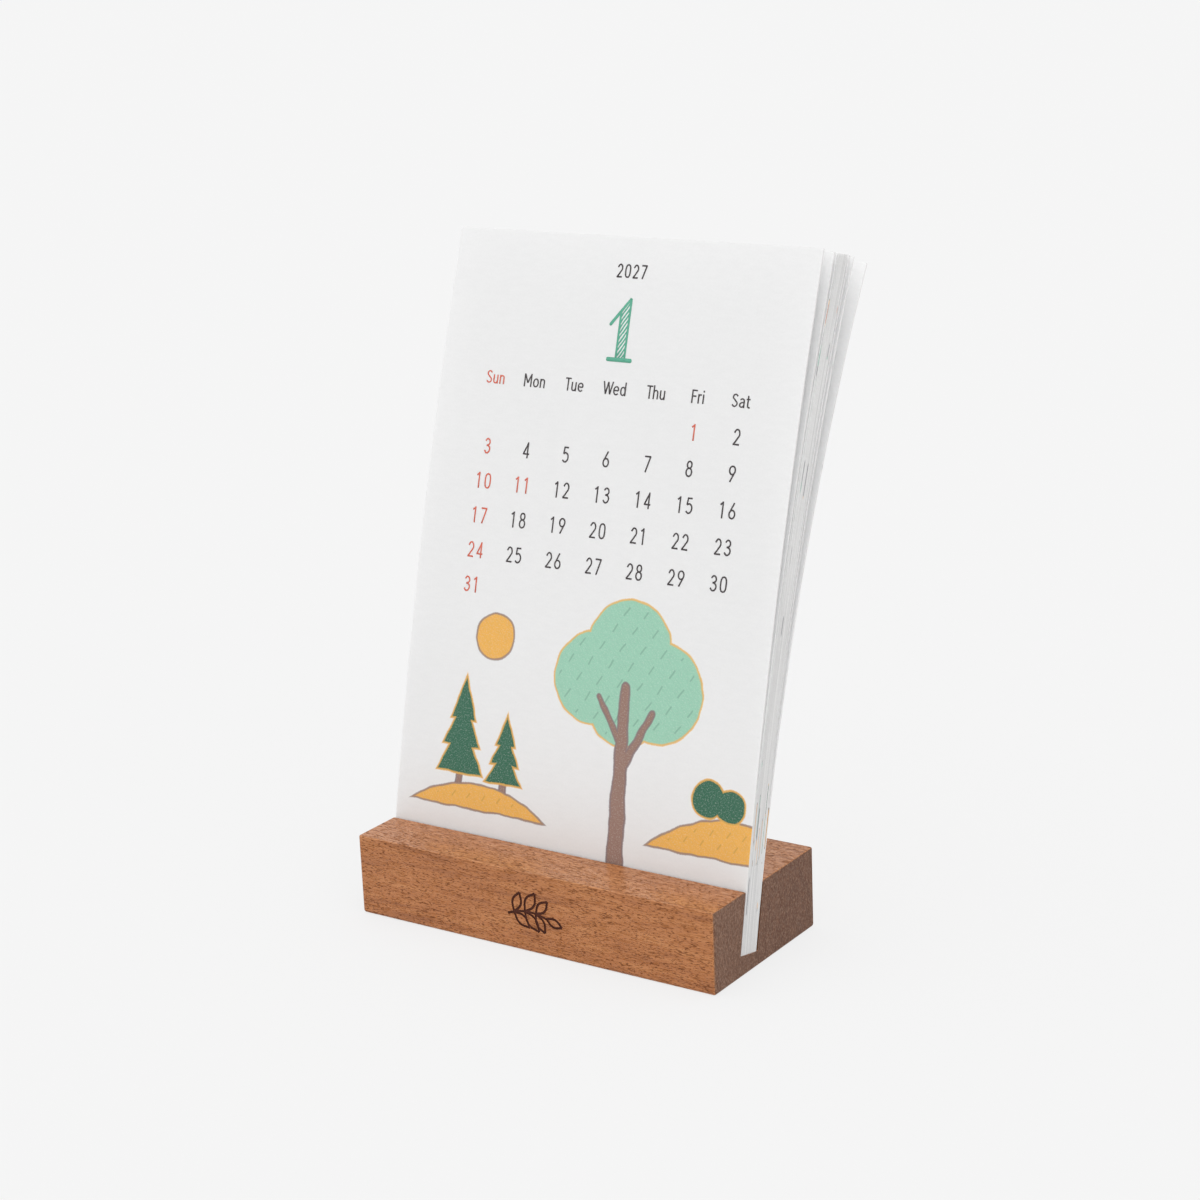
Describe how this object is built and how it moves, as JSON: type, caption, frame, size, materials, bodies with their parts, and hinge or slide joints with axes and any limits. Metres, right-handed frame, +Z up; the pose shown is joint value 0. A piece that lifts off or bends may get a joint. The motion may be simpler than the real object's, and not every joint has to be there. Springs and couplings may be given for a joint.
{
  "type": "desk calendar",
  "caption": "Free-standing desk calendar: a low wooden block whose leaning slot holds a fanned pack of bowed month cards, each of which lifts out of the slot.",
  "frame": {"origin": "centre of the wood block's underside", "axes": "+X to the viewer's right along the slot, +Y to the back, +Z up"},
  "size_m": [0.1002, 0.0751, 0.1591],
  "materials": {
    "wood": "reddish-brown hardwood, fine open pores, oiled, low sheen",
    "card_stock": "heavy uncoated white card, matte, lightly textured, printed on the front"
  },
  "bodies": {
    "block": {"wood_block": "wood"},
    "january_card": {"january_card": "card_stock"},
    "february_card": {"february_card": "card_stock"},
    "march_card": {"march_card": "card_stock"},
    "april_card": {"april_card": "card_stock"},
    "may_card": {"may_card": "card_stock"},
    "june_card": {"june_card": "card_stock"},
    "july_card": {"july_card": "card_stock"},
    "august_card": {"august_card": "card_stock"},
    "september_card": {"september_card": "card_stock"},
    "october_card": {"october_card": "card_stock"},
    "november_card": {"november_card": "card_stock"},
    "december_card": {"december_card": "card_stock"},
    "cover_card": {"cover_card": "card_stock"}
  },
  "joints": [
    {"name": "january_lift", "type": "hinge", "parent": "block", "child": "january_card", "pos_m": [0, 1.05961, -0.21256], "axis": [-1, 0, 0], "range_deg": [0, 8.65]},
    {"name": "february_lift", "type": "hinge", "parent": "block", "child": "february_card", "pos_m": [0, 0.75749, -0.15109], "axis": [-1, 0, 0], "range_deg": [0, 12.06]},
    {"name": "march_lift", "type": "hinge", "parent": "block", "child": "march_card", "pos_m": [0, 0.7147, -0.14238], "axis": [-1, 0, 0], "range_deg": [0, 12.79]},
    {"name": "april_lift", "type": "hinge", "parent": "block", "child": "april_card", "pos_m": [0, 0.70327, -0.14006], "axis": [-1, 0, 0], "range_deg": [0, 13]},
    {"name": "may_lift", "type": "hinge", "parent": "block", "child": "may_card", "pos_m": [0, 0.7006, -0.13951], "axis": [-1, 0, 0], "range_deg": [0, 13.06]},
    {"name": "june_lift", "type": "hinge", "parent": "block", "child": "june_card", "pos_m": [0, 0.69795, -0.13898], "axis": [-1, 0, 0], "range_deg": [0, 13.12]},
    {"name": "july_lift", "type": "hinge", "parent": "block", "child": "july_card", "pos_m": [0, 0.69534, -0.13844], "axis": [-1, 0, 0], "range_deg": [0, 13.18]},
    {"name": "august_lift", "type": "hinge", "parent": "block", "child": "august_card", "pos_m": [0, 0.69275, -0.13792], "axis": [-1, 0, 0], "range_deg": [0, 13.23]},
    {"name": "september_lift", "type": "hinge", "parent": "block", "child": "september_card", "pos_m": [0, 0.69019, -0.1374], "axis": [-1, 0, 0], "range_deg": [0, 13.29]},
    {"name": "october_lift", "type": "hinge", "parent": "block", "child": "october_card", "pos_m": [0, 0.68766, -0.13688], "axis": [-1, 0, 0], "range_deg": [0, 13.35]},
    {"name": "november_lift", "type": "hinge", "parent": "block", "child": "november_card", "pos_m": [0, 0.66469, -0.13221], "axis": [-1, 0, 0], "range_deg": [0, 13.82]},
    {"name": "december_lift", "type": "hinge", "parent": "block", "child": "december_card", "pos_m": [0, 0.61451, -0.122], "axis": [-1, 0, 0], "range_deg": [0, 14.95]},
    {"name": "cover_lift", "type": "hinge", "parent": "block", "child": "cover_card", "pos_m": [0, 0.47064, -0.09273], "axis": [-1, 0, 0], "range_deg": [0, 19.49]}
  ]
}
